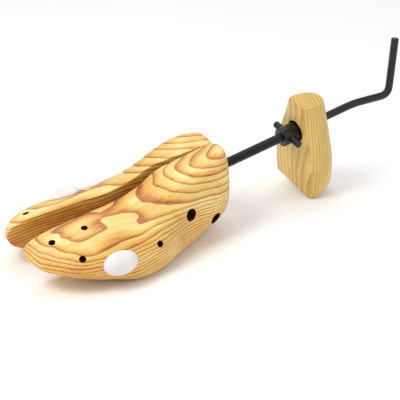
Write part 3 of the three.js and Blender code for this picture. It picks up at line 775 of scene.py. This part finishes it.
def add_plug(name, mirror, where, body, material, steps=28, sides=72):
    """A domed oval plug with a soft rim. Its back follows the wood, and its stem is in a hole."""
    to_hinge = HINGE.inverted() @ FORM
    frame_here = swung(mirror) @ to_hinge @ surface_frame(where)
    rings = []
    for i in range(1, steps):
        t = math.pi * (i / steps - 0.5)
        reach = math.cos(t) ** PLUG_RIM
        height = PLUG_RISE * math.copysign(abs(math.sin(t)) ** PLUG_DOME, t)
        ring = []
        for a in once_round(sides):
            ring.append((PLUG_LENGTH * reach * math.cos(a), PLUG_HEIGHT * reach * math.sin(a), height))
        rings.append(ring)
    piece = new_object(name, *skin(rings, (0, 0, -PLUG_RISE), (0, 0, PLUG_RISE)), frame_here)
    raised = frame_here @ Matrix.Translation((0, 0, PLUG_GAP)) @ frame_here.inverted()
    carve(piece, "DIFFERENCE", [(*half_shell(90), raised @ swung(mirror) @ to_hinge)])
    stem = upright_bar(PLUG_STEM_RADIUS, -PLUG_STEM_LENGTH, PLUG_RISE / 2)
    carve(piece, "UNION", [(*stem, frame_here)])
    finish_piece(piece, body, [name.removesuffix("_look")], material, PLASTIC_SHARP)


# ---------------------------------------------------------------- spindle

THREAD_RADIUS, THREAD_ROOT, PITCH = 4.0, 3.3, 2.0
THREAD_START_U, THREAD_END_U = -56.65, 86.0
THREAD_FADE = 1.5
THREAD_CHAMFER_LENGTH, THREAD_CHAMFER_DEPTH = 0.8, 0.5
JOURNAL_RADIUS, JOURNAL_END_U, JOURNAL_EDGE = 2.5, -67.9, 0.4
SHANK_RADIUS = 3.25
# How far the journal and the shank reach into the threaded length, to be one piece with it.
JOURNAL_OVERLAP, SHANK_OVERLAP = 1, 0.5
BEND_CUT_BACK, BEND_STEPS = 8.0, 12
FIRST_BEND_U = 135.3
ARM_LENGTH, ARM_SLOPE = 37.5, 1.0 * DEG
HANDLE_LENGTH, HANDLE_SLOPE = 49.5, 86.0 * DEG


def crank_line(spacing=4.8):
    """Points along the shank, arm and handle, in the rod frame."""

    def way(slope):
        return Vector((math.cos(slope - TILT), 0, math.sin(slope - TILT)))

    corners = [Vector((THREAD_END_U - SHANK_OVERLAP, 0, 0)), Vector((FIRST_BEND_U, 0, 0))]
    corners.append(corners[1] + way(ARM_SLOPE) * ARM_LENGTH)
    corners.append(corners[2] + way(HANDLE_SLOPE) * HANDLE_LENGTH)
    points = []
    here = corners[0]
    for before, corner, after in zip(corners, corners[1:], corners[2:]):
        start = corner + (before - corner).normalized() * BEND_CUT_BACK
        stop = corner + (after - corner).normalized() * BEND_CUT_BACK
        count = max(int((start - here).length / spacing), 2)
        points += [here.lerp(start, i / count) for i in range(count)]
        for i in range(BEND_STEPS):
            t = i / BEND_STEPS
            points.append(start * (1 - t) ** 2 + corner * 2 * t * (1 - t) + stop * t * t)
        here = stop
    points += [here.lerp(corners[3], i / BEND_STEPS) for i in range(BEND_STEPS + 1)]
    return points


def tube(points, radius, sides=40, edge=0.7, steps=5):
    """A bar along points that lie in the plane of u and w, with a rounded far end."""
    rings = []
    for i, point in enumerate(points):
        along = (points[min(i + 1, len(points) - 1)] - points[max(i - 1, 0)]).normalized()
        side = Vector((0, 1, 0))
        up = along.cross(side)
        rays = [side * math.cos(t) + up * math.sin(t) for t in once_round(sides)]
        rings.append([point + ray * radius for ray in rays])
    rings.pop()
    for i in range(steps + 1):
        t = math.pi / 2 * i / steps
        middle = points[-1] - along * edge * (1 - math.sin(t))
        rings.append([middle + ray * (radius - edge * (1 - math.cos(t))) for ray in rays])
    return skin(rings)


def thread_radius(u, turn):
    """The thread's radius: crests climb one pitch a turn, and fade out at both ends."""
    place = (u / PITCH - turn / (2 * math.pi)) % 1.0
    # 0 on the flat crest, 1 in the flat root, and straight flanks between them.
    groove = min(max(abs(place - 0.5) * 4 - 0.5, 0.0), 1.0)
    from_end = min(u - THREAD_START_U, THREAD_END_U - u)
    depth = (THREAD_RADIUS - THREAD_ROOT) * groove * min(from_end / THREAD_FADE, 1.0)
    chamfer = THREAD_CHAMFER_DEPTH * (1 - min(from_end / THREAD_CHAMFER_LENGTH, 1.0))
    return THREAD_RADIUS - depth - chamfer


def thread(steps=10, sides=36):
    """The threaded length, in steps of a part of the pitch."""
    count = int((THREAD_END_U - THREAD_START_U) / PITCH * steps)
    rings = []
    for i in range(count + 1):
        u = THREAD_START_U + (THREAD_END_U - THREAD_START_U) * i / count
        ring = []
        for turn in once_round(sides):
            radius = thread_radius(u, turn)
            ring.append((u, radius * math.cos(turn), radius * math.sin(turn)))
        rings.append(ring)
    return skin(rings)


def add_spindle(material):
    """The threaded rod with its crank, and the plain journal at its tip."""
    piece = new_object("crank_spindle_look", *thread(), ROD)
    journal = bar(JOURNAL_END_U, THREAD_START_U + JOURNAL_OVERLAP, JOURNAL_RADIUS, 40, JOURNAL_EDGE)
    carve(piece, "UNION", [(*journal, ROD), (*tube(crank_line(), SHANK_RADIUS), ROD)])
    finish_piece(piece, "spindle", ["crank_spindle"], material, STEEL_SHARP)


# ---------------------------------------------------------------- nut and heel block

BLOCK_ROLL = 14.5 * DEG
ROLLED = ROD @ Matrix.Rotation(BLOCK_ROLL, 4, "X")
NUT_FRONT, NUT_LENGTH, NUT_RADIUS, NUT_CLEARANCE = 59.3, 22.5, 8.0, 0.3
NUT_FRONT_EDGE, NUT_REAR_EDGE = 1.1, 0.5
COLLAR_STEP = 0.9
# The step down to the collar, as (distance from the nut's rear end, depth) pairs.
COLLAR_SLOPE = [(5.4, 0), (5.0, 0.25), (4.7, COLLAR_STEP)]
PEG_U, PEG_RADIUS, PEG_INNER, PEG_REACH, PEG_EDGE = 66.7, 3.0, 5.4, 16.3, 1.0
PEG_SEAT_DEPTH, PEG_SEAT_END, PEG_SEAT_CLEARANCE = 0.3, 20, 0.15
THROUGH_NUT_U, THROUGH_BLOCK_U = (0, 120), (0, 220)


def add_nut_hub(material):
    """The round hub, bored for the spindle and for its two finger pegs."""
    end = NUT_FRONT + NUT_LENGTH
    outline = rounded_end(NUT_FRONT, NUT_RADIUS, NUT_FRONT_EDGE, -1)
    outline += [(end - back, NUT_RADIUS - depth) for back, depth in COLLAR_SLOPE]
    outline += rounded_end(end, NUT_RADIUS - COLLAR_STEP, NUT_REAR_EDGE, 1)
    hub = new_object("nut_hub_look", *turned(outline), ROLLED)
    tools = [(*bar(*THROUGH_NUT_U, THREAD_RADIUS + NUT_CLEARANCE), ROLLED)]
    for way in (-1, 1):
        low, high = sorted((way * (PEG_INNER - PEG_SEAT_DEPTH), way * PEG_SEAT_END))
        seat = bar(low, high, PEG_RADIUS + PEG_SEAT_CLEARANCE, 40)
        tools.append((*laid_across(seat, PEG_U), ROLLED))
    carve(hub, "DIFFERENCE", tools)
    finish_piece(hub, "adjusting_nut", ["nut_hub"], material, STEEL_SHARP)


def add_nut_peg(name, way, material):
    outline = [(PEG_INNER, PEG_RADIUS)] + rounded_end(PEG_REACH, PEG_RADIUS, PEG_EDGE, 1)
    peg = new_object(name + "_look", *laid_across(turned(outline, 48), PEG_U, way), ROLLED)
    finish_piece(peg, "adjusting_nut", [name], material, STEEL_SHARP)


BLOCK_FRONT, BLOCK_BOTTOM, BLOCK_TOP = 74.7, -59.3, 28.7
BLOCK_BORE, BLOCK_COUNTERBORE, BLOCK_COUNTERBORE_FLOOR = 5.75, 9.4, 84.4
# Pairs of a height w and the value there.
BLOCK_HALF_WIDTH = [(-59.3, 24), (-50, 26.5), (-34, 26.5), (-12, 22.5), (12, 15), (28.7, 10.5)]
BLOCK_DEPTH = [(-59.3, 25), (-50, 30.5), (-34, 31), (-8, 29), (14, 27), (28.7, 24)]
BLOCK_TOP_FALL, BLOCK_TOP_SPARE = 9 * DEG, 1
BLOCK_FULLNESS = 2.3
# The widest place, as a share of the depth, and how far the uncut front reaches before it.
BLOCK_LEAD, BLOCK_FRONT_REACH = 0.26, 2.2
# Its cut edges are rounded where they turn by more than the angle in degrees.
BLOCK_EDGE_ROUND, BLOCK_EDGE_ANGLE = 0.9, 42
IN_FRONT_OF_BLOCK = (0, -80, -120), (BLOCK_FRONT, 80, 80)
ABOVE_BLOCK = (-20, -60, 0), (80, 60, 40)


def block_ring(w, around):
    """The block's outline at a height, before its front is cut flat."""
    depth, width = profile(BLOCK_DEPTH, w), profile(BLOCK_HALF_WIDTH, w)
    lead = BLOCK_LEAD * depth
    ring = []
    for t in once_round(around):
        along = math.copysign(abs(math.cos(t)) ** (2 / BLOCK_FULLNESS), math.cos(t))
        across = math.copysign(abs(math.sin(t)) ** (2 / BLOCK_FULLNESS), math.sin(t))
        reach = depth - lead if along > 0 else BLOCK_FRONT_REACH * lead
        ring.append((BLOCK_FRONT + lead + reach * along, width * across, w))
    return ring


def add_heel_block(material, levels=70, around=96):
    """Flat front, rounded back, with softened edges and a counterbored hole for the nut."""
    tall = BLOCK_TOP + BLOCK_TOP_SPARE - BLOCK_BOTTOM
    rings = [block_ring(BLOCK_BOTTOM + tall * i / levels, around) for i in range(levels + 1)]
    piece = new_object("heel_block_look", *skin(rings), ROLLED)
    slope = Matrix.Translation((BLOCK_FRONT, 0, BLOCK_TOP)) @ Matrix.Rotation(BLOCK_TOP_FALL, 4, "Y")
    carve(piece, "DIFFERENCE", [
        (*brick(*IN_FRONT_OF_BLOCK), ROLLED),
        (*brick(*ABOVE_BLOCK), ROLLED @ slope),
    ])
    round_edges(piece, BLOCK_EDGE_ROUND, BLOCK_EDGE_ANGLE)
    carve(piece, "DIFFERENCE", [
        (*bar(*THROUGH_BLOCK_U, BLOCK_BORE, 64), ROLLED),
        (*bar(0, BLOCK_COUNTERBORE_FLOOR, BLOCK_COUNTERBORE, 72), ROLLED),
    ])
    finish_piece(piece, "heel", ["heel_block"], material, WOOD_SHARP)


# ---------------------------------------------------------------- everything

add_camera()
add_world()
for light_values in LIGHTS:
    add_light(*light_values)
add_floor()

near_pine = pine("pine_near", 45.0, 0.0)
far_pine = pine("pine_far", 43.0, 40.0)
black_steel = steel("black_steel", ("#060707", "#0f1011"), 0.33, 0.2, 1.1, 0.1)
zinc_steel = steel("zinc_steel", ("#77797c", "#a5a8ab"), 0.36, 0.9, 0.8)
white_plastic = plastic("white_plastic")

add_half("near_half_look", False, NEAR_PEG_HOLES + [NEAR_PLUG], "near_form", near_pine)
add_half("far_half_look", True, FAR_PEG_HOLES + [FAR_PLUG], "far_form", far_pine)
add_plug("near_plug_look", False, NEAR_PLUG, "near_bunion_plug", white_plastic)
add_plug("far_plug_look", True, FAR_PLUG, "far_bunion_plug", white_plastic)
add_spindle(black_steel)
add_nut_hub(black_steel)
add_nut_peg("nut_peg_near", -1, black_steel)
add_nut_peg("nut_peg_far", 1, black_steel)
add_heel_block(block_wood("block_wood"))

for name, node in NODES.items():
    node.data.materials.clear()
    node.data.materials.append(black_steel if name == "thrust_washer" else zinc_steel)
